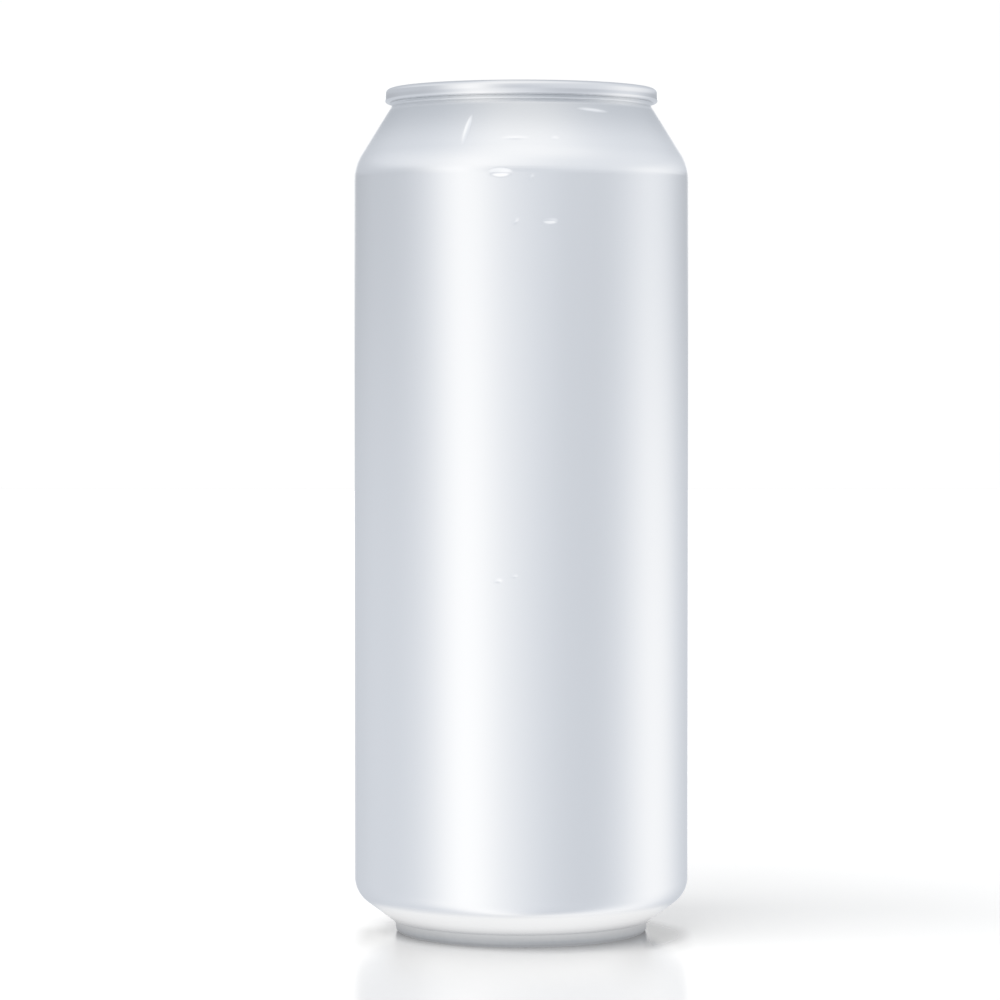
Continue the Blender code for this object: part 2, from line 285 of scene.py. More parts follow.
# %% Rows and columns that follow the dents
def with_dent_rows(line):
    """Split the long steps of the outer wall, finely where a dent lies."""
    spans = [(dent[1], dent_reach(*dent[2:4], dent[5])[1] + FINE_ROW) for dent in DENTS]
    split = [line[0]]
    for (r0, z0), (r1, z1) in zip(line[:-1], line[1:]):
        length = math.hypot(r1 - r0, z1 - z0)
        outside = min(r0, r1) > LIP_INNER_R and length > FINE_ROW
        place = 0.0
        while outside:
            z = z0 + (z1 - z0) * place / length
            near = any(abs(z - height) < reach for height, reach in spans)
            to_next = [height - reach - z for height, reach in spans if height > z]
            ahead = min(to_next, default=COARSE_ROW)
            place += FINE_ROW if near else max(FINE_ROW, min(COARSE_ROW, ahead))
            if place > length - FINE_ROW / 2.0:
                break
            split.append((r0 + (r1 - r0) * place / length, z0 + (z1 - z0) * place / length))
        split.append((r1, z1))
    return split


def dent_columns():
    """Angles of the body's columns, closer together in the sectors that hold a dent."""
    sector = 360.0 / BODY_SECTORS
    spans = [(dent[0], math.degrees(dent_reach(*dent[2:4], dent[5])[0] / NECK_R)) for dent in DENTS]
    angles = []
    for index in range(BODY_SECTORS):
        start = index * sector
        # A bearing counts from -Y and a column's angle from +X.
        middle = start + sector / 2.0 + 90.0
        holds = any(abs(bearing_gap(middle, bearing)) < sector / 2.0 + reach for bearing, reach in spans)
        parts = FINE_COLUMNS if holds else 1
        angles += [math.radians(start + sector * part / parts) for part in range(parts)]
    return angles


# %% Make the body
body_shape = bmesh.new()
scuff_layer = body_shape.verts.layers.float.new("scuff")
body_columns = dent_columns()
body_rings = spin(body_shape, with_dent_rows(body_line), body_columns)
print("body has", len(body_rings), "rings of", len(body_columns), "columns")
for vert in [vert for ring in body_rings for vert in ring]:
    push, inside = dented(*vert.co)
    if push > 0.0:
        shrink = 1.0 - push / math.hypot(vert.co.x, vert.co.y)
        vert.co.x *= shrink
        vert.co.y *= shrink
        vert[scuff_layer] = min(1.0, 2.0 * inside)
body_skin = finish_piece("body_skin", body_shape)
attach(body_skin, "root")
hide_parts("can_body")

# %% [markdown]
# ## The end: a height map over its plan
#
# The middle of the end is one pressed sheet, with everything drawn up or down from one
# level. That is a height map: for any point of the plan there is one height. A plain
# grid would blur the score line, which is only a third of a millimetre wide, so the
# points are laid along the features instead and a Delaunay triangulation joins them.
#
# First come distances. Each feature asks how far a point is from its outline, and the
# height follows from that distance.

# %% Plan shapes and distances
def hull_path(front_y, front_r, rear_y, rear_r, spacing):
    """Outline round two circles on the Y axis, as (x, y, normal x, normal y)."""
    lean = math.asin((front_r - rear_r) / (rear_y - front_y))
    path = []
    for centre, radius, first, sweep in (
            (rear_y, rear_r, lean, math.pi - 2.0 * lean),
            (front_y, front_r, math.pi - lean, math.pi + 2.0 * lean)):
        steps = math.ceil(radius * sweep / spacing)
        for step in range(steps + 1):
            angle = first + sweep * step / steps
            normal = (math.cos(angle), math.sin(angle))
            path.append((radius * normal[0], centre + radius * normal[1], *normal))
    filled = []
    for here, there in zip(path, path[1:] + path[:1]):
        steps = max(1, round(math.dist(here[:2], there[:2]) / spacing))
        for step in range(steps):
            filled.append(tuple(a + (b - a) * step / steps for a, b in zip(here, there)))
    return filled


def hull_distance(x, y, front_y, front_r, rear_y, rear_r):
    """Signed distance to that outline, negative inside."""
    lean = math.asin((front_r - rear_r) / (rear_y - front_y))
    across = abs(x)
    if (y - front_y) * math.cos(lean) - across * math.sin(lean) < 0.0:
        return math.hypot(x, y - front_y) - front_r
    if (y - rear_y) * math.cos(lean) - across * math.sin(lean) > 0.0:
        return math.hypot(x, y - rear_y) - rear_r
    return across * math.cos(lean) + (y - front_y) * math.sin(lean) - front_r


def oval_path(centre_y, half_x, half_y, power, spacing, start=0.0, end=360.0):
    """Points along a rounded oval, or part of it, as (x, y, normal x, normal y)."""
    fine = []
    steps = 720
    for step in range(steps + 1):
        angle = math.radians(start + (end - start) * step / steps)
        cos = math.cos(angle)
        sin = math.sin(angle)
        x = half_x * math.copysign(abs(cos) ** (2.0 / power), cos)
        y = half_y * math.copysign(abs(sin) ** (2.0 / power), sin)
        nx = math.copysign(abs(x / half_x) ** (power - 1.0) / half_x, x)
        ny = math.copysign(abs(y / half_y) ** (power - 1.0) / half_y, y)
        size = math.hypot(nx, ny)
        fine.append((x, centre_y + y, nx / size, ny / size))
    path = [fine[0]]
    travelled = 0.0
    for here, there in zip(fine[:-1], fine[1:]):
        travelled += math.dist(here[:2], there[:2])
        if travelled >= spacing:
            path.append(there)
            travelled = 0.0
    closed = abs(end - start - 360.0) < 1e-6
    if closed and math.dist(path[-1][:2], path[0][:2]) < spacing * 0.5:
        path.pop()
    return path


def oval_distance(x, y, centre_y, half_x, half_y, power):
    """Distance to a rounded oval, negative inside, close enough near its edge."""
    u = abs(x) / half_x
    v = abs(y - centre_y) / half_y
    level = (u ** power + v ** power) ** (1.0 / power)
    if level < 1e-6:
        return -min(half_x, half_y)
    slope = math.hypot(u ** (power - 1.0) / half_x, v ** (power - 1.0) / half_y)
    slope *= level ** (1.0 - power)
    return (level - 1.0) / slope


def ease(value, low, high):
    """0 below low, 1 above high and an S-shaped rise between."""
    t = min(1.0, max(0.0, (value - low) / (high - low)))
    return t * t * (3.0 - 2.0 * t)


# %% [markdown]
# ### Triangles that follow the features
#
# This helper takes rows of points that run beside each feature, adds an even scatter
# of filler points between them, and asks Blender's constrained Delaunay routine for
# triangles. The rows become edges of the mesh, so each fold stays crisp.

# %% Triangulate a plan
FILLER_GAP = 0.55
SAME_POINT = 1e-4


def plan_mesh(closed_rows, open_rows, reach, spacing, clear):
    """Triangulate rows of plan points with filler; gives points and triangles."""
    points = []
    edges = []
    for row, closed in [(r, True) for r in closed_rows] + [(r, False) for r in open_rows]:
        start = len(points)
        points.extend((p[0], p[1]) for p in row)
        count = len(row)
        edges.extend((start + i, start + i + 1) for i in range(count - 1))
        if closed:
            edges.append((start + count - 1, start))
    tree = KDTree(len(points))
    for index, (x, y) in enumerate(points):
        tree.insert((x, y, 0.0), index)
    tree.balance()
    low_x, low_y, high_x, high_y = reach
    row_height = spacing * math.sqrt(3.0) / 2.0
    for j in range(int((high_y - low_y) / row_height) + 1):
        for i in range(int((high_x - low_x) / spacing) + 1):
            x = low_x + (i + 0.5 * (j % 2)) * spacing
            y = low_y + j * row_height
            if clear(x, y) and tree.find((x, y, 0.0))[2] > spacing * FILLER_GAP:
                points.append((x, y))
    flat = [Vector(p) for p in points]
    made = delaunay_2d_cdt(flat, edges, [], 0, SAME_POINT, False)
    return made[0], made[2]


def offset_row(path, offset):
    """A path moved out along its normals."""
    return [(p[0] + p[2] * offset, p[1] + p[3] * offset) for p in path]


# %% [markdown]
# ### Heights of the pressed panel
#
# From the outside in, the panel has a sunk field that stiffens it, a score line where
# the mouth tears open with a shallower guard groove inside it, a raised bead on the
# tear panel, a well that lets a fingertip under the ring, and a boss that the press
# draws up into the rivet. The score stops short on one side, where the torn flap stays
# hinged.

# %% Panel sizes and its height
PANEL_Z = 163.3
FIELD = (-5.0, 16.3, 10.0, 10.8)
FIELD_DEPTH = 0.35
FIELD_SLOPE = 0.7
TEAR_Y, TEAR_X_HALF, TEAR_Y_HALF, TEAR_POWER = -11.7, 12.2, 8.1, 2.2
SCORE_HALF = 0.17
SCORE_DEPTH = 0.16
SCORE_FADE = 4.0
GUARD_INSET = 0.75
GUARD_HALF = 0.25
GUARD_DEPTH = 0.05
HINGE = (30.0, 70.0)
BEAD_Y, BEAD_X_HALF, BEAD_Y_HALF = -13.6, 8.2, 3.9
BEAD_ARC = (160.0, 380.0)
BEAD_FADE = 12.0
BEAD_HALF = 0.75
BEAD_RISE = 0.34
WELL_Y, WELL_X, WELL_Y_HALF = 12.4, 7.4, 5.4
WELL_DEPTH = 0.95
WELL_SLOPE = 1.9
BOSS_LOW_R = 3.5
BOSS_TOP_R = 2.3
BOSS_RISE = 0.65


def angle_in_oval(x, y, centre_y):
    """Angle of a plan point about an oval's centre, in degrees from 0 to 360."""
    return math.degrees(math.atan2(y - centre_y, x)) % 360.0


def panel_height(x, y):
    """Height of the pressed panel above the floor the can stands on."""
    z = PANEL_Z
    sunk = ease(-hull_distance(x, y, *FIELD), 0.0, FIELD_SLOPE)
    z -= FIELD_DEPTH * sunk
    tear = oval_distance(x, y, TEAR_Y, TEAR_X_HALF, TEAR_Y_HALF, TEAR_POWER)
    bearing = angle_in_oval(x, y, TEAR_Y)
    open_side = ease(bearing, HINGE[0] - SCORE_FADE, HINGE[0])
    open_side *= 1.0 - ease(bearing, HINGE[1], HINGE[1] + SCORE_FADE)
    scored = 1.0 - open_side
    z -= SCORE_DEPTH * scored * max(0.0, 1.0 - abs(tear) / SCORE_HALF)
    z -= GUARD_DEPTH * scored * max(0.0, 1.0 - abs(tear + GUARD_INSET) / GUARD_HALF)
    bead = oval_distance(x, y, BEAD_Y, BEAD_X_HALF, BEAD_Y_HALF, TEAR_POWER)
    bead_bearing = (angle_in_oval(x, y, BEAD_Y) - BEAD_ARC[0]) % 360.0
    sweep = BEAD_ARC[1] - BEAD_ARC[0]
    ends = ease(bead_bearing, 0.0, BEAD_FADE) * (1.0 - ease(bead_bearing, sweep - BEAD_FADE, sweep))
    z += BEAD_RISE * ends * (1.0 - ease(abs(bead), 0.0, BEAD_HALF))
    well = oval_distance(x, y, WELL_Y, WELL_X, WELL_Y_HALF, 2.0)
    z -= WELL_DEPTH * ease(-well, 0.0, WELL_SLOPE)
    z += BOSS_RISE * (1.0 - ease(math.hypot(x, y), BOSS_TOP_R, BOSS_LOW_R))
    return z


# %% Lay out the panel
PANEL_RING_R = 21.9
END_SEGMENTS = 256
WIDE_STEP = 0.5
MOUTH_STEP = 0.4
BOSS_STEP = 0.35
PANEL_FILLER = 0.8
RING_MARGIN = 0.4
FIELD_SHARES = (0.0, 0.2, 0.4, 0.6, 0.8, 1.0)
WELL_SHARES = (0.0, 0.15, 0.35, 0.55, 0.8, 1.0)
BOSS_RADII = (BOSS_TOP_R, 2.6, 2.9, 3.2, BOSS_LOW_R)
GROOVE_SHARES = (-1.0, 0.0, 1.0)
BEAD_SHARES = (-1.0, -0.6, -0.3, 0.0, 0.3, 0.6, 1.0)

field_path = hull_path(*FIELD, WIDE_STEP)
tear_arc = (HINGE[1], HINGE[0] + 360.0)
tear_path = oval_path(TEAR_Y, TEAR_X_HALF, TEAR_Y_HALF, TEAR_POWER, MOUTH_STEP, *tear_arc)
bead_path = oval_path(BEAD_Y, BEAD_X_HALF, BEAD_Y_HALF, TEAR_POWER, MOUTH_STEP, *BEAD_ARC)
well_path = oval_path(WELL_Y, WELL_X, WELL_Y_HALF, 2.0, WIDE_STEP)
ring_angles = even_angles(END_SEGMENTS)
closed_rows = [[(PANEL_RING_R * math.cos(a), PANEL_RING_R * math.sin(a)) for a in ring_angles]]
closed_rows += [offset_row(field_path, -FIELD_SLOPE * share) for share in FIELD_SHARES]
closed_rows += [offset_row(well_path, -WELL_SLOPE * share) for share in WELL_SHARES]
for radius in BOSS_RADII:
    closed_rows.append([p[:2] for p in oval_path(0.0, radius, radius, 2.0, BOSS_STEP)])
open_rows = [offset_row(tear_path, share * SCORE_HALF) for share in GROOVE_SHARES]
open_rows += [offset_row(tear_path, -GUARD_INSET + share * GUARD_HALF) for share in GROOVE_SHARES]
open_rows += [offset_row(bead_path, share * BEAD_HALF) for share in BEAD_SHARES]
panel_reach = (-PANEL_RING_R, -PANEL_RING_R, PANEL_RING_R, PANEL_RING_R)
plan_points, plan_triangles = plan_mesh(
    closed_rows, open_rows, panel_reach, PANEL_FILLER,
    lambda x, y: math.hypot(x, y) < PANEL_RING_R - RING_MARGIN)
print("panel:", len(plan_points), "points,", len(plan_triangles), "triangles")

# %% [markdown]
# ### The seam and the chuck wall
#
# Round the panel the end is turned. The panel drops into a narrow groove, the
# countersink, which takes the pressure, then the chuck wall climbs to the double seam.
# In the seam the edge of the end and the edge of the body are folded over each other
# twice. It is rolled by two small wheels, so its outside is nearly straight with a
# tight radius above and below.
#
# A ring laid on a disc would leave a crease between them. Here the turned line ends on
# the panel's outermost points, so the two weld into one closed skin.

# %% Make the end
SEAM_R = 27.1
SEAM_BOTTOM_Z = 164.8
CAN_HEIGHT = 167.595
SEAM_INNER_R = 25.62
SEAM_TAPER = 0.07
SEAM_MIDDLE_Z = 166.1
CHUCK_MID_R = 25.05
CHUCK_LOW_R = 24.0
COUNTERSINK_R = 22.9
COUNTERSINK_Z = 161.1
END_BEND_STEP = math.radians(8.0)
END_WELD = 0.001

end_line = rounded([
    (0.0, PLUG_BOTTOM_Z, 0.0),
    (LIP_INNER_R - GAP, PLUG_BOTTOM_Z, 0.4),
    (LIP_INNER_R - GAP, SEAM_BOTTOM_Z, 0.0),
    (SEAM_R, SEAM_BOTTOM_Z, 0.62),
    (SEAM_R, SEAM_MIDDLE_Z, 9.0),
    (SEAM_R - SEAM_TAPER, CAN_HEIGHT, 0.85),
    (SEAM_INNER_R, CAN_HEIGHT, 0.45),
    (CHUCK_MID_R, SEAM_BOTTOM_Z, 3.0),
    (CHUCK_LOW_R, COUNTERSINK_Z, 0.5),
    (COUNTERSINK_R, COUNTERSINK_Z, 0.5),
    (COUNTERSINK_R, PANEL_Z, 0.5),
    (PANEL_RING_R, PANEL_Z, 0.0),
], END_BEND_STEP)
end_shape = bmesh.new()
spin(end_shape, end_line, ring_angles)
panel_verts = [end_shape.verts.new((p.x, p.y, panel_height(p.x, p.y))) for p in plan_points]
for corners in plan_triangles:
    end_shape.faces.new([panel_verts[index] for index in corners])
bmesh.ops.remove_doubles(end_shape, verts=end_shape.verts, dist=END_WELD)
end_skin = finish_piece("end_skin", end_shape)
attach(end_skin, "root")
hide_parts("can_end")

# %% [markdown]
# ## The rivet
#
# No separate rivet holds the tab: the press draws a button up out of the panel, passes
# it through the tab and flattens its head. What shows is a low round head with a
# slight dimple where the punch stood. It is turned as a small piece of its own, because
# it lies over the tab while the panel runs on below.

# %% Make the rivet head
RIVET_TOP_Z = 165.3
RIVET_HEAD_Z = 164.65
RIVET_HEAD_R = 2.7
STEM_R = 1.55
STEM_LOW_Z = PANEL_Z - 0.3
DIMPLE_R = 1.35
DIMPLE_FLOOR_R = 0.95
DIMPLE_DEPTHS = (0.16, 0.18)
RIVET_SEGMENTS = 72
RIVET_BEND_STEP = math.radians(12.0)

rivet_line = rounded([
    (0.0, STEM_LOW_Z, 0.0),
    (STEM_R, STEM_LOW_Z, 0.0),
    (STEM_R, RIVET_HEAD_Z, 0.15),
    (RIVET_HEAD_R, RIVET_HEAD_Z, 0.2),
    (RIVET_HEAD_R, RIVET_TOP_Z, 0.33),
    (DIMPLE_R, RIVET_TOP_Z, 0.5),
    (DIMPLE_FLOOR_R, RIVET_TOP_Z - DIMPLE_DEPTHS[0], 0.3),
    (0.0, RIVET_TOP_Z - DIMPLE_DEPTHS[1], 0.0),
], RIVET_BEND_STEP)
rivet_shape = bmesh.new()
spin(rivet_shape, rivet_line, even_angles(RIVET_SEGMENTS))
rivet = finish_piece("rivet_head", rivet_shape)
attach(rivet, "root")

# %% [markdown]
# ## The pull tab
#
# A tab is stamped from thin strip whose edges are curled over, which makes it stiff and
# safe to pull. Seen from above it is a web with a rolled border, a second roll round
# the finger hole, and an island round the rivet that is cut free on three sides so the
# tab can bend up at its front.
#
# A tube bent along the outline could be the border, but the real curl grows out of the
# web without a crease. So the upper and the lower skin are two height maps on the same
# plan. The roll's height follows a flattened circle across its width, so both skins
# meet at the outer edge.

# %% Tab sizes and its two heights
TAB = (0.8, 8.0, 11.0, 7.4)
CURL_WIDTH = 1.6
CURL_MIDDLE_Z = 164.15
CURL_HALF_HEIGHT = 0.75
CURL_POWER = 2.6
WEB_LOW_Z = 163.9
WEB_TOP_Z = 164.35
RING_Y, RING_X_HALF, RING_Y_HALF, RING_POWER = 12.0, 4.6, 3.3, 2.6
RING_CURL = 1.2
RIVET_HOLE_R = 1.9
SLOT_R = 4.05
SLOT_HALF = 0.35
SLOT_ARC = (-35.0, 215.0)
BRIDGE_Y, BRIDGE_X, BRIDGE_Y_HALF = 6.55, 3.6, 0.8
BRIDGE_RISE = 0.3
BRIDGE_FADE = (-0.25, 0.65)


def roll_height(distance, width):
    """Half height of a curled edge at a distance in from its outer side."""
    across = abs(2.0 * distance / width - 1.0)
    if across >= 1.0:
        return 0.0
    return CURL_HALF_HEIGHT * (1.0 - across ** CURL_POWER) ** (1.0 / CURL_POWER)


def tab_heights(x, y):
    """Lower and upper height of the tab at a plan point."""
    from_edge = -hull_distance(x, y, *TAB)
    from_hole = oval_distance(x, y, RING_Y, RING_X_HALF, RING_Y_HALF, RING_POWER)
    low = CURL_MIDDLE_Z
    top = CURL_MIDDLE_Z
    if from_edge > CURL_WIDTH / 2.0 and from_hole > RING_CURL / 2.0:
        low = WEB_LOW_Z
        top = WEB_TOP_Z
        bridge = oval_distance(x, y, BRIDGE_Y, BRIDGE_X, BRIDGE_Y_HALF, 2.0)
        lift = BRIDGE_RISE * ease(-bridge, *BRIDGE_FADE)
        low += lift
        top += lift
    for distance, width in ((from_edge, CURL_WIDTH), (from_hole, RING_CURL)):
        half = roll_height(distance, width)
        low = min(low, CURL_MIDDLE_Z - half)
        top = max(top, CURL_MIDDLE_Z + half)
    return low, top


# %% Lay out the tab
ROLL_STEPS = 12
EDGE_STEP = 0.45
HOLE_STEP = 0.4
BRIDGE_STEP = 0.35
RIVET_HOLE_STEP = 0.3
BRIDGE_OFFSETS = (0.25, 0.0, -0.3)
TAB_FILLER = 0.6
TAB_REACH = (-8.0, -7.2, 8.0, 18.4)


def roll_rows(path, width, outward):
    """Rows of points across a curled edge, closer together where it turns down."""
    rows = []
    for step in range(ROLL_STEPS + 1):
        angle = math.pi * step / ROLL_STEPS
        across = -math.copysign(abs(math.cos(angle)) ** (2.0 / CURL_POWER), math.cos(angle))
        rows.append(offset_row(path, outward * width * (0.5 + 0.5 * across)))
    return rows


edge_path = hull_path(*TAB, EDGE_STEP)
hole_path = oval_path(RING_Y, RING_X_HALF, RING_Y_HALF, RING_POWER, HOLE_STEP)
rivet_hole_path = oval_path(0.0, RIVET_HOLE_R, RIVET_HOLE_R, 2.0, RIVET_HOLE_STEP)
slot_path = oval_path(0.0, SLOT_R, SLOT_R, 2.0, HOLE_STEP, *SLOT_ARC)
bridge_path = oval_path(BRIDGE_Y, BRIDGE_X, BRIDGE_Y_HALF, 2.0, BRIDGE_STEP)
edge_row = [p[:2] for p in edge_path]
hole_row = [p[:2] for p in hole_path]
rivet_hole_row = [p[:2] for p in rivet_hole_path]
slot_row = offset_row(slot_path, SLOT_HALF) + offset_row(slot_path, -SLOT_HALF)[::-1]
tab_rows = roll_rows(edge_path, CURL_WIDTH, -1.0) + roll_rows(hole_path, RING_CURL, 1.0)
tab_rows += [rivet_hole_row, slot_row]
tab_rows += [offset_row(bridge_path, offset) for offset in BRIDGE_OFFSETS]
tab_points, tab_triangles = plan_mesh(
    tab_rows, [], TAB_REACH, TAB_FILLER,
    lambda x, y: hull_distance(x, y, *TAB) < -CURL_WIDTH)
print("tab plan:", len(tab_points), "points")

# %% [markdown]
# ### Cutting the plan out
#
# The triangulation fills everything inside its outermost points. A triangle is kept
# only where its middle lies on the strip: inside the edge, and outside the finger hole,
# the rivet's hole and the slot round the island.

# %% Keep the triangles on the strip
def inside_row(x, y, row):
    """Whether a plan point lies inside a closed row of points."""
    inside = False
    for (x0, y0), (x1, y1) in zip(row, row[1:] + row[:1]):
        if (y0 > y) != (y1 > y) and x < (x1 - x0) * (y - y0) / (y1 - y0) + x0:
            inside = not inside
    return inside


kept_triangles = []
for corners in tab_triangles:
    x = sum(tab_points[index].x for index in corners) / 3.0
    y = sum(tab_points[index].y for index in corners) / 3.0
    cut_away = any(inside_row(x, y, row) for row in (hole_row, rivet_hole_row, slot_row))
    if inside_row(x, y, edge_row) and not cut_away:
        kept_triangles.append(corners)
print("tab:", len(kept_triangles), "triangles a side")

# %% [markdown]
# ### Closing the tab
#
# The two skins share their outer points where a roll brings them together. At the
# rivet hole and the slot there is no roll, only the cut edge of the strip, so a short
# wall joins the skins there.

# %% Make the tab
TAB_WELD = 0.002

tab_shape = bmesh.new()
low_verts = {}
top_verts = {}
for index in sorted({corner for corners in kept_triangles for corner in corners}):
    point = tab_points[index]
    low, top = tab_heights(point.x, point.y)
    low_verts[index] = tab_shape.verts.new((point.x, point.y, low))
    top_verts[index] = tab_shape.verts.new((point.x, point.y, top))
edge_uses = {}
for corners in kept_triangles:
    tab_shape.faces.new([top_verts[index] for index in corners])
    tab_shape.faces.new([low_verts[index] for index in reversed(corners)])
    for a, b in zip(corners, corners[1:] + corners[:1]):
        edge_uses.setdefault(tuple(sorted((a, b))), []).append((a, b))
for uses in edge_uses.values():
    if len(uses) == 1:
        a, b = uses[0]
        tab_shape.faces.new((top_verts[b], top_verts[a], low_verts[a], low_verts[b]))
bmesh.ops.remove_doubles(tab_shape, verts=tab_shape.verts, dist=TAB_WELD)
tab_skin = finish_piece("tab_skin", tab_shape)
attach(tab_skin, "root")
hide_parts("pull_tab")

# %% [markdown]
# ## Writing shaders like sums
#
# A node tree is easier to read as arithmetic. `Flow` wraps one output socket, and its
# operators add the Math node that does the sum. Colours and vectors need other nodes,
# so those come from `Tree.node`, which makes any node from its type, its settings and
# what goes into its sockets.

# %% Sockets that can be added and multiplied
class Flow:
    """One output of a shader node, with operators that add Math nodes."""

    def __init__(self, tree, socket):
        self.tree = tree
        self.socket = socket

    def math(self, operation, *others):
        """Put this value through a Math node."""
        sockets = dict(enumerate((self,) + others))
        return self.tree.node("ShaderNodeMath", {"operation": operation}, sockets)

    def __add__(self, other):
        return self.math("ADD", other)

    def __sub__(self, other):
        return self.math("SUBTRACT", other)

    def __mul__(self, other):
        return self.math("MULTIPLY", other)

    def __truediv__(self, other):
        return self.math("DIVIDE", other)

    def __rsub__(self, other):
        return self.tree.node("ShaderNodeMath", {"operation": "SUBTRACT"}, {0: other, 1: self})

    def __rtruediv__(self, other):
        return self.tree.node("ShaderNodeMath", {"operation": "DIVIDE"}, {0: other, 1: self})

    __radd__ = __add__
    __rmul__ = __mul__

    def between(self, low, high):
        """0 below low, 1 above high and a soft step between."""
        settings = {"interpolation_type": "SMOOTHSTEP"}
        return self.tree.node("ShaderNodeMapRange", settings, {0: self, 1: low, 2: high}, "Result")


class Tree:
    """A node tree that makes a node in one call."""

    def __init__(self, owner):
        owner.use_nodes = True
        self.nodes = owner.node_tree.nodes
        self.links = owner.node_tree.links

    def node(self, kind, settings=None, sockets=None, output=0):
        """Add a node, set it up, feed its sockets and give back one output."""
        made = self.nodes.new(kind)
        for name, value in (settings or {}).items():
            if name == "stops":
                self.set_stops(made.color_ramp, value)
            else:
                setattr(made, name, value)
        for name, value in (sockets or {}).items():
            self.feed(made.inputs[name], value)
        return Flow(self, made.outputs[output])

    def feed(self, socket, value):
        """Link a flow to a socket, or set the socket to a plain value."""
        if isinstance(value, Flow):
            self.links.new(value.socket, socket)
        else:
            socket.default_value = value

    def set_stops(self, ramp, stops):
        """Give a colour ramp its stops, as (place, colour)."""
        while len(ramp.elements) > 1:
            ramp.elements.remove(ramp.elements[-1])
        for index, (place, colour) in enumerate(stops):
            element = ramp.elements[0] if index == 0 else ramp.elements.new(place)
            element.position = place
            element.color = (*colour, 1.0)

    def mix_colour(self, factor, first, second):
        """Blend two colours."""
        return self.node("ShaderNodeMix", {"data_type": "RGBA"}, {0: factor, 6: first, 7: second}, 2)

    def noise(self, vector, scale, detail):
        """Soft noise from 0 to 1 over a vector."""
        sockets = {"Vector": vector, "Scale": scale, "Detail": detail}
        return self.node("ShaderNodeTexNoise", {}, sockets, "Fac")

    def stretch(self, vector, scale):
        """Scale a vector by a different amount along each axis."""
        return self.node("ShaderNodeVectorMath", {"operation": "MULTIPLY"}, {0: vector, 1: scale})

    def distance(self, vector, point):
        """Distance from a position to a fixed point."""
        settings = {"operation": "DISTANCE"}
        return self.node("ShaderNodeVectorMath", settings, {0: vector, 1: point}, "Value")

    def ray(self, output):
        """One answer of the Light Path node: what kind of ray has come."""
        return self.node("ShaderNodeLightPath", {}, {}, output)


# %% [markdown]
# ## Aluminium, three ways
#
# Bare aluminium is a clean, faintly blue white metal. What tells its surfaces apart is
# how each was worked, so every material starts from the same settings and differs in
# its grain:
#
# - the body was ironed upwards through rings, so it has fine upright lines,
# - the end is cut from rolled sheet, so its grain runs straight across,
# - the tab is rolled strip too, but bent and burnished on its curls.
#
# The grain goes into roughness, a little into colour and least into bump. Lines this
# fine are far smaller than a pixel from a distance; they mostly spread the highlights.
#
# Object coordinates are in metres, so the heights where one finish fades into the next
# are in metres too.

# %% One start for all three
def metal_tree(name):
    """A new material with its tree, its Principled shader and object coordinates."""
    material = bpy.data.materials.new(name)
    tree = Tree(material)
    shader = tree.nodes["Principled BSDF"]
    shader.inputs["Metallic"].default_value = 1.0
    place = tree.node("ShaderNodeTexCoord", {}, {}, "Object")
    return material, tree, shader, place


def split(tree, place):
    """The x, y and z of a position, in metres."""
    made = tree.nodes.new("ShaderNodeSeparateXYZ")
    tree.feed(made.inputs[0], place)
    return [Flow(tree, made.outputs[index]) for index in range(3)]


# %% [markdown]
# ### The body's satin
#
# Upright drawing lines come from noise that is squeezed sideways and stretched along
# the axis. Painted shade darkens the neck towards the seam and the flange under the
# seam, and a narrow painted highlight lightens the top of the neck against the real
# shadow of the seam. The stand bead and the edge of the dome rub on conveyors, so they
# are rougher than the ironed wall, and painted shade makes them darker. Noise suits the
# grain better than a picture of brushed metal, because it never repeats round the can.

# %% Body finish values
BODY_DARK = (0.899, 0.904, 0.911, 1.0)
BODY_TINT = (0.913, 0.917, 0.923, 1.0)
# Painted shade: the neck's colour, darker towards the seam.
NECK_SHADE = (0.70, 0.713, 0.728, 1.0)
# Painted highlight: a lighter band at the top of the neck, under the flange.
CURL_HIGHLIGHT = (0.80, 0.81, 0.82, 1.0)
# Painted shade: the flange in the shadow under the seam.
FLANGE_SHADE = (0.76, 0.77, 0.785, 1.0)
# Painted shade: the stand bead and the foot of the chime, darker near the floor.
STAND_SHADE = (0.365, 0.38, 0.40, 1.0)
SCUFF_TINT = (0.985, 0.985, 0.985, 1.0)
STAND_FADE = (0.0, 0.0047)
NECK_FADE = (0.1550, 0.1632)
CURL_FADE = (0.1629, 0.1636)
FLANGE_FADE = (0.16415, 0.16440)
DRAWN_LINES = (2600.0, 2600.0, 6.0)
BROAD_LINES = (160.0, 160.0, 5.0)
RUB_SCALE = 900.0
BODY_ROUGH = 0.195
STREAK_ROUGH = 0.015
BROAD_ROUGH = 0.03
STAND_ROUGH = 0.15
SCUFF_SMOOTH = 0.11
BODY_ANISOTROPY = 0.35
BODY_BUMP = {"Strength": 0.025, "Distance": 0.00002}
RUB_BUMP = 0.03

# %% Body material
body_metal, tree, shader, place = metal_tree("body_satin")
z = split(tree, place)[2]
streaks = tree.noise(tree.stretch(place, DRAWN_LINES), 1.0, 1.0)
broad = tree.noise(tree.stretch(place, BROAD_LINES), 1.0, 2.0)
rub = tree.noise(place, RUB_SCALE, 4.0)
stand = 1.0 - z.between(*STAND_FADE)
scuff = tree.node("ShaderNodeAttribute", {"attribute_name": "scuff"}, {}, "Fac")
tint = tree.mix_colour(streaks * 0.5 + broad * 0.5, BODY_DARK, BODY_TINT)
# Painted shade darkens the neck towards the seam.
tint = tree.mix_colour(z.between(*NECK_FADE), tint, NECK_SHADE)
# Painted highlight at the top of the neck, against the seam's shadow.
tint = tree.mix_colour(z.between(*CURL_FADE), tint, CURL_HIGHLIGHT)
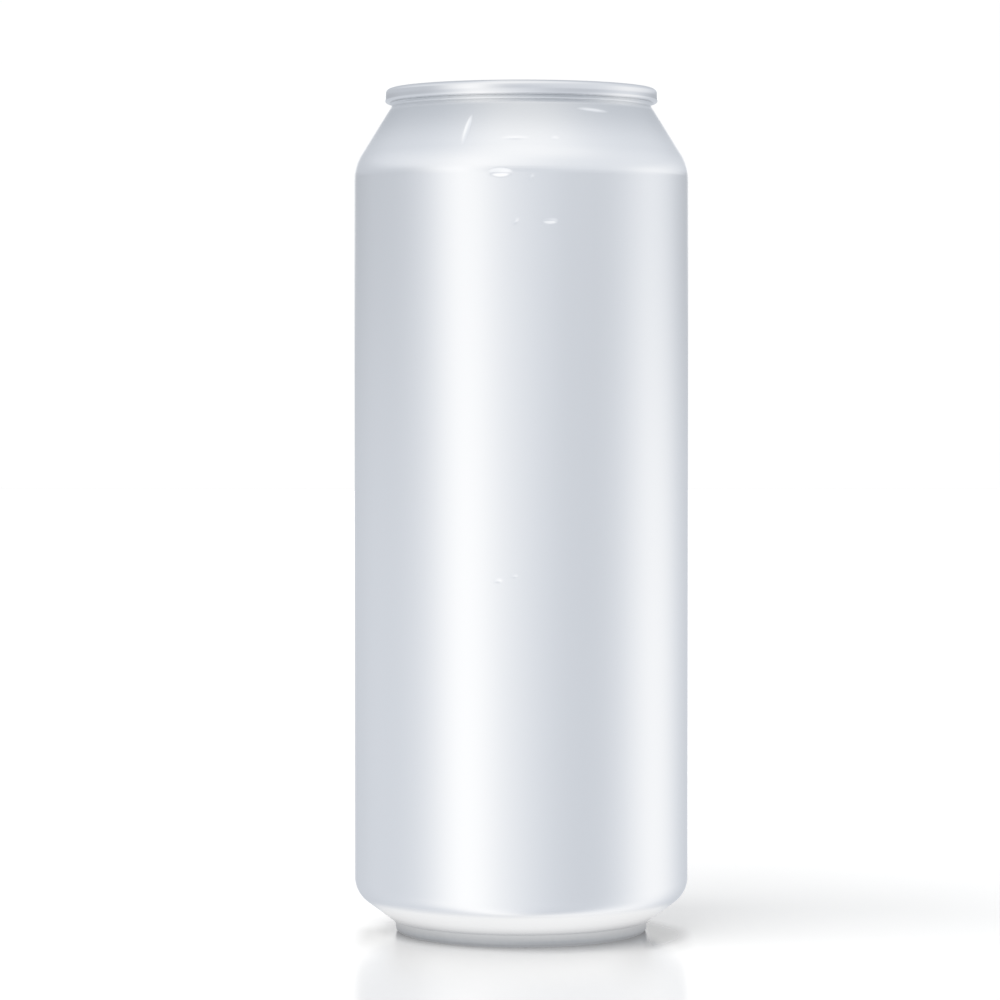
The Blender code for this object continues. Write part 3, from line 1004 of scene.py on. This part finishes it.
# Painted shade on the flange under the seam.
tint = tree.mix_colour(z.between(*FLANGE_FADE), tint, FLANGE_SHADE)
tint = tree.mix_colour(scuff, tint, SCUFF_TINT)
# Painted shade on the stand bead, varied a little by noise.
tint = tree.mix_colour(stand * (0.9 + rub * 0.1), tint, STAND_SHADE)
tree.feed(shader.inputs["Base Color"], tint)
rough = BODY_ROUGH + streaks * STREAK_ROUGH + broad * BROAD_ROUGH + stand * STAND_ROUGH
tree.feed(shader.inputs["Roughness"], rough - scuff * SCUFF_SMOOTH)
shader.inputs["Anisotropic"].default_value = BODY_ANISOTROPY
bump = tree.node("ShaderNodeBump", {}, {**BODY_BUMP, "Height": streaks + rub * RUB_BUMP})
tree.feed(shader.inputs["Normal"], bump)
body_skin.data.materials.append(body_metal)
print("body material has", len(tree.nodes), "nodes")

# %% [markdown]
# ### The end's rolled sheet
#
# Straight grain crosses the whole panel in one direction, whatever the pressing did to
# the sheet later, so its noise is stretched in plan and not along the surface. The
# seaming rolls burnish the seam, and towards the rim the straight grain gives way to a
# smoother ring.

# %% End material
SHEET_DARK = (0.84, 0.845, 0.85, 1.0)
SHEET_LIGHT = (0.91, 0.915, 0.92, 1.0)
SEAM_TINT = (0.84, 0.845, 0.855, 1.0)
SEAM_FADE = (0.1636, 0.1652)
SHEET_LINES = (60.0, 3800.0, 60.0)
SHEET_MOTTLE = 260.0
SHEET_ROUGH = 0.27
GRAIN_ROUGH = 0.10
MOTTLE_ROUGH = 0.02
SEAM_SMOOTH = 0.16
GRAIN_BUMP = {"Strength": 0.15, "Distance": 0.00003}

end_metal, tree, shader, place = metal_tree("end_rolled")
z = split(tree, place)[2]
grain = tree.noise(tree.stretch(place, SHEET_LINES), 1.0, 3.0)
mottle = tree.noise(place, SHEET_MOTTLE, 3.0)
seam = z.between(*SEAM_FADE)
sheet = tree.mix_colour(grain * 0.7 + mottle * 0.3, SHEET_DARK, SHEET_LIGHT)
tree.feed(shader.inputs["Base Color"], tree.mix_colour(seam, sheet, SEAM_TINT))
rough = SHEET_ROUGH + grain * GRAIN_ROUGH * (1.0 - seam) - seam * SEAM_SMOOTH + mottle * MOTTLE_ROUGH
tree.feed(shader.inputs["Roughness"], rough)
bump = tree.node("ShaderNodeBump", {}, {**GRAIN_BUMP, "Height": grain * (1.0 - seam)})
tree.feed(shader.inputs["Normal"], bump)
end_skin.data.materials.append(end_metal)
rivet.data.materials.append(end_metal)
print("end material has", len(tree.nodes), "nodes")

# %% [markdown]
# ### The tab's strip
#
# Grain runs along the tab. The tops of the rolls are rubbed smooth, which shows as
# lower roughness above the level of the web.

# %% Tab material
STRIP_DARK = (0.83, 0.835, 0.84, 1.0)
STRIP_LIGHT = (0.92, 0.92, 0.925, 1.0)
ROLLED_FADE = (0.1644, 0.1648)
STRIP_LINES = (4200.0, 70.0, 70.0)
STRIP_MOTTLE = 420.0
STRIP_ROUGH = 0.26
ROLLED_SMOOTH = 0.10

tab_metal, tree, shader, place = metal_tree("tab_strip")
z = split(tree, place)[2]
grain = tree.noise(tree.stretch(place, STRIP_LINES), 1.0, 3.0)
mottle = tree.noise(place, STRIP_MOTTLE, 3.0)
rolled = z.between(*ROLLED_FADE)
tint = tree.mix_colour(grain * 0.6 + mottle * 0.4, STRIP_DARK, STRIP_LIGHT)
tree.feed(shader.inputs["Base Color"], tint)
tree.feed(shader.inputs["Roughness"], STRIP_ROUGH + grain * GRAIN_ROUGH - rolled * ROLLED_SMOOTH)
bump = tree.node("ShaderNodeBump", {}, {**GRAIN_BUMP, "Height": grain})
tree.feed(shader.inputs["Normal"], bump)
tab_skin.data.materials.append(tab_metal)
print("tab material has", len(tree.nodes), "nodes")

# %% [markdown]
# ## The room
#
# Bare metal shows the room more than itself, so the studio matters as much as the
# material. Lamps with large faces could light it, but they add grain and hard edges.
# So the room is a world shader: soft light boxes and grey cards are painted on it by
# their bearing round the can and their height. A bearing of 0 points from the can to
# the camera and 90 to the right. Each ring holds one strength for every bearing, and
# neighbouring rings blend into each other.
#
# The straight wall mirrors only a thin slice of the room near its own level. The chime,
# the shoulder, the neck and the seam lean, so they mirror rings lower down or higher
# up, and each part of the can is lit by a ring of its own. Overhead hangs a card that
# gets brighter to the back. A narrow white backdrop behind the can is there for the
# metal that is seen almost edge on.

# %% Studio bearings
BEARINGS = (-180, -150, -125, -100, -80, -62, -45, -30, -12,
            10, 30, 55, 75, 95, 115, 135, 155, 180)
ROOM = {
    "low": (0.68, 0.69, 0.74, 0.76, 0.86, 1.05, 1.12, 1.05, 0.92,
            0.81, 0.73, 0.69, 0.75, 0.91, 1.04, 0.90, 0.67, 0.68),
    "below": (0.68, 0.66, 0.75, 0.73, 0.77, 0.90, 1.13, 1.10, 0.93,
              0.80, 0.70, 0.68, 0.84, 1.05, 1.03, 0.78, 0.65, 0.68),
    "level": (0.55, 0.50, 0.60, 0.58, 0.63, 0.78, 1.05, 1.02, 0.90,
              0.78, 0.66, 0.61, 0.70, 0.85, 0.79, 0.60, 0.50, 0.55),
    "brim": (0.64, 0.62, 0.65, 0.66, 0.64, 0.98, 1.16, 1.02, 0.68,
             0.74, 0.80, 0.81, 0.86, 1.04, 0.99, 0.88, 0.70, 0.64),
    "raised": (0.62, 0.64, 0.78, 0.84, 0.88, 0.94, 1.04, 1.06, 1.02,
               0.94, 0.88, 0.85, 0.85, 0.86, 0.84, 0.78, 0.65, 0.62),
    "high": (0.60, 0.64, 0.70, 0.78, 0.84, 0.90, 0.97, 1.00, 1.02,
             1.02, 1.00, 0.94, 0.86, 0.82, 0.78, 0.70, 0.64, 0.60),
}
RING_FADES = {
    # height of the looking direction, from -1 straight down to 1 straight up
    "below": (-0.75, -0.20),
    "level": (-0.05, 0.065),
    "brim": (0.078, 0.110),
    "raised": (0.14, 0.34),
    "high": (0.42, 0.80),
}
print("studio has", len(ROOM), "rings of", len(BEARINGS), "bearings")

# %% Overhead card, backdrop and tints
OVERHEAD = (0.71, 1.12)
OVERHEAD_SLANT = 0.6
OVERHEAD_FADE = (-0.12, 0.25)
OVERHEAD_EDGE = (0.93, 0.995)
BACKDROP = 1.34
BACKDROP_SIDE = (0.955, 0.978)
BACKDROP_FOOT = (0.0, 0.06)
BACKDROP_TOP = (0.20, 0.30)
ROOM_TOP = 2.0
WHITE_LEVEL = 1.01
COOL = (0.94, 0.985, 1.06)
CARD_TO_BOX = (0.66, 1.16)


def room_colour(strength):
    """Grey cards are cool and light boxes white; a ramp holds values up to one."""
    warmth = ease(strength, *CARD_TO_BOX)
    return tuple(strength / ROOM_TOP * (channel + (1.0 - channel) * warmth) for channel in COOL)


# %% [markdown]
# ### Hanging the rings
#
# Each ring is a colour ramp over the bearing, with its stops joined by a smooth curve
# so that no light box has a hard edge. A blend by height goes from the lowest ring to
# the highest. The Light Path node tells the camera's own rays apart, and those see
# plain white.

# %% Studio world
room = bpy.data.worlds.new("studio")
bpy.context.scene.world = room
room.cycles.sampling_method = "NONE"
tree = Tree(room)
look = tree.node("ShaderNodeTexCoord", {}, {}, "Generated")
x, y, z = split(tree, look)
bearing = x.math("ARCTAN2", 0.0 - y) / (2.0 * math.pi) + 0.5
rings = {}
for height, strengths in ROOM.items():
    places = [(angle + 180) / 360.0 for angle in BEARINGS]
    stops = list(zip(places, [room_colour(strength) for strength in strengths]))
    rings[height] = tree.node("ShaderNodeValToRGB", {"stops": stops}, {0: bearing}, "Color")
    tree.nodes[-1].color_ramp.interpolation = "B_SPLINE"
whole = rings["low"]
for height, fade in RING_FADES.items():
    whole = tree.mix_colour(z.between(*fade), whole, rings[height])
front_card, rear_card = [(*room_colour(strength), 1.0) for strength in OVERHEAD]
ceiling = tree.mix_colour((y - x * OVERHEAD_SLANT).between(*OVERHEAD_FADE), front_card, rear_card)
whole = tree.mix_colour(z.between(*OVERHEAD_EDGE), whole, ceiling)
backdrop = y.between(*BACKDROP_SIDE) * z.between(*BACKDROP_FOOT) * (1.0 - z.between(*BACKDROP_TOP))
whole = tree.mix_colour(backdrop, whole, (*room_colour(BACKDROP), 1.0))
white = (1.0 / ROOM_TOP, 1.0 / ROOM_TOP, 1.0 / ROOM_TOP, 1.0)
shown = tree.mix_colour(tree.ray("Is Camera Ray"), whole, white)
background = tree.nodes["Background"]
tree.feed(background.inputs["Color"], shown)
tree.feed(background.inputs["Strength"], ROOM_TOP * WHITE_LEVEL)
print("studio world has", len(tree.nodes), "nodes")

# %% [markdown]
# ## The floor
#
# The floor is a sheet of glossy white board, bright enough to merge with the
# background, with a faint mirror image of the can at its foot. One large quad is
# enough for that, because a flat board needs no relief.

# %% Floor
FLOOR_HALF = 3.0
FLOOR_SIGNS = ((-1.0, -1.0), (1.0, -1.0), (1.0, 1.0), (-1.0, 1.0))

floor_shape = bmesh.new()
floor_verts = [floor_shape.verts.new((FLOOR_HALF * sx, FLOOR_HALF * sy, 0.0)) for sx, sy in FLOOR_SIGNS]
floor_shape.faces.new(floor_verts)
floor_mesh = bpy.data.meshes.new("floor")
floor_shape.to_mesh(floor_mesh)
floor_shape.free()
floor = bpy.data.objects.new("floor", floor_mesh)
bpy.context.scene.collection.objects.link(floor)
print("floor is", 2.0 * FLOOR_HALF, "m wide")

# %% [markdown]
# ### Shade at the foot
#
# A narrow shade hugs each side of a can's foot, where the overhanging chime keeps the
# light off the board. Soft suns wash it out, so it is painted on the board as two greys:
# one on both flanks and a darker one in the lee, on the side away from the light.

# %% Paint the board
BOARD_ROUGH = 0.21
BOARD_LIFT = (0.065, 0.065, 0.065, 1.0)
BOARD_WHITE = (0.494, 0.487, 0.478, 1.0)
FLANK_GREY = (0.25, 0.247, 0.24, 1.0)
FLANK_STRENGTH = 0.80
FLANK_INNER = (0.0240, 0.0275)
FLANK_OUTER = (0.0300, 0.0345)
FLANK_REAR = (-0.009, 0.004)
FLANK_FRONT = (0.006, 0.038)
LEE_GREY = (0.09, 0.09, 0.09, 1.0)
LEE_CENTRE = (0.0, -0.006, 0.0)
LEE_INNER = (0.0232, 0.0262)
LEE_OUTER = (0.0275, 0.0345)

board = bpy.data.materials.new("white_board")
tree = Tree(board)
shader = tree.nodes["Principled BSDF"]
shader.inputs["Roughness"].default_value = BOARD_ROUGH
shader.inputs["Emission Strength"].default_value = 1.0
shader.inputs["Emission Color"].default_value = BOARD_LIFT
place = tree.node("ShaderNodeTexCoord", {}, {}, "Object")
x, y = split(tree, place)[:2]
aside = x.math("ABSOLUTE")
front = 0.0 - y
flank = aside.between(*FLANK_INNER) * (1.0 - aside.between(*FLANK_OUTER))
flank = flank * front.between(*FLANK_REAR) * (1.0 - front.between(*FLANK_FRONT)) * FLANK_STRENGTH
lee = (1.0 - tree.distance(place, LEE_CENTRE).between(*LEE_OUTER)) * x.between(*LEE_INNER)
paint = tree.mix_colour(flank, BOARD_WHITE, FLANK_GREY)
tree.feed(shader.inputs["Base Color"], tree.mix_colour(lee, paint, LEE_GREY))

# %% [markdown]
# ### The board in the metal's reflections
#
# In the can's own reflections the board is a small disc that glows: painted shade
# under the foot, a painted white glow under the chime, and gone just past the wall.
# Beyond it the room's rings carry on below the horizon, so the board doesn't drown
# them. A ray that has come off metal twice finds more painted shade on the sides of
# the disc.

# %% What the metal sees of the board
FOOT_CENTRE = (0.0, 0.005, 0.0)
FOOT_SHADE = (0.40, 0.40, 0.41, 1.0)
FOOT_GLOW = (1.0, 1.0, 1.0, 1.0)
GLOW_FADE = (0.021, 0.033)
BOARD_EDGE = (0.0275, 0.0360)
SECOND_BOUNCE = (1.2, 1.8)
SECOND_SIDE = (0.018, 0.027)
SECOND_SHADE = 0.6

# Painted shade and a painted glow, seen only in the metal's reflections.
shade = tree.node("ShaderNodeEmission", {}, {"Color": FOOT_SHADE})
glow = tree.node("ShaderNodeEmission", {}, {"Color": FOOT_GLOW})
clear = tree.node("ShaderNodeBsdfTransparent")
deep = tree.ray("Glossy Depth").between(*SECOND_BOUNCE)
lit = tree.distance(place, FOOT_CENTRE).between(*GLOW_FADE)
lit = lit * (1.0 - deep * aside.between(*SECOND_SIDE) * SECOND_SHADE)
gone = tree.distance(place, (0.0, 0.0, 0.0)).between(*BOARD_EDGE)
near = tree.node("ShaderNodeMixShader", {}, {0: lit, 1: shade, 2: glow})
mirrored = tree.node("ShaderNodeMixShader", {}, {0: gone, 1: near, 2: clear})
plain = Flow(tree, shader.outputs[0])
whole = tree.node("ShaderNodeMixShader", {}, {0: tree.ray("Is Glossy Ray"), 1: plain, 2: mirrored})
tree.feed(tree.nodes["Material Output"].inputs["Surface"], whole)
floor.data.materials.append(board)
print("board material has", len(tree.nodes), "nodes")

# %% [markdown]
# ## The key light
#
# Two broad soft suns shine from the left and from the front left. They light the board
# and drop a pale shadow to the right, and they stay out of the metal's reflections,
# which the room gives.

# %% Key light
SUNS = (
    # name, strength, width in degrees, direction of the light
    ("key_side", 2.00, 30.0, (0.80, 0.30, -1.20)),
    ("key_front", 1.90, 34.0, (0.45, 0.95, -1.20)),
)
for name, energy, angle, way in SUNS:
    sun_data = bpy.data.lights.new(name, "SUN")
    sun_data.energy = energy
    sun_data.angle = math.radians(angle)
    sun = bpy.data.objects.new(name, sun_data)
    bpy.context.scene.collection.objects.link(sun)
    sun.rotation_euler = Vector(way).to_track_quat("-Z", "Y").to_euler()
    sun.visible_glossy = False
print("key lights:", [sun[0] for sun in SUNS])

# %% [markdown]
# ## The camera
#
# A long lens from a little over arm's length keeps the can's sides parallel. It stands
# at about two thirds of the can's height, so it looks a touch down on the foot and a
# touch up at the seam.

# %% Camera
FOCAL_PIXELS = 3877.0
PICTURE_PIXELS = 1000.0
SENSOR_MM = 36.0
CAMERA_PLACE = (-0.00424, -0.7726, 0.1106)
CAMERA_DOWN = math.radians(1.823)
CLIP_NEAR = 0.05
CLIP_FAR = 20.0

lens = bpy.data.cameras.new("camera")
lens.sensor_width = SENSOR_MM
lens.lens = FOCAL_PIXELS / PICTURE_PIXELS * SENSOR_MM
lens.clip_start = CLIP_NEAR
lens.clip_end = CLIP_FAR
camera = bpy.data.objects.new("camera", lens)
bpy.context.scene.collection.objects.link(camera)
camera.location = CAMERA_PLACE
camera.rotation_euler = (math.pi / 2.0 - CAMERA_DOWN, 0.0, 0.0)
bpy.context.scene.camera = camera
bpy.context.scene.view_settings.view_transform = "Standard"
bpy.context.scene.view_settings.look = "None"
print("lens of", round(lens.lens, 1), "mm")
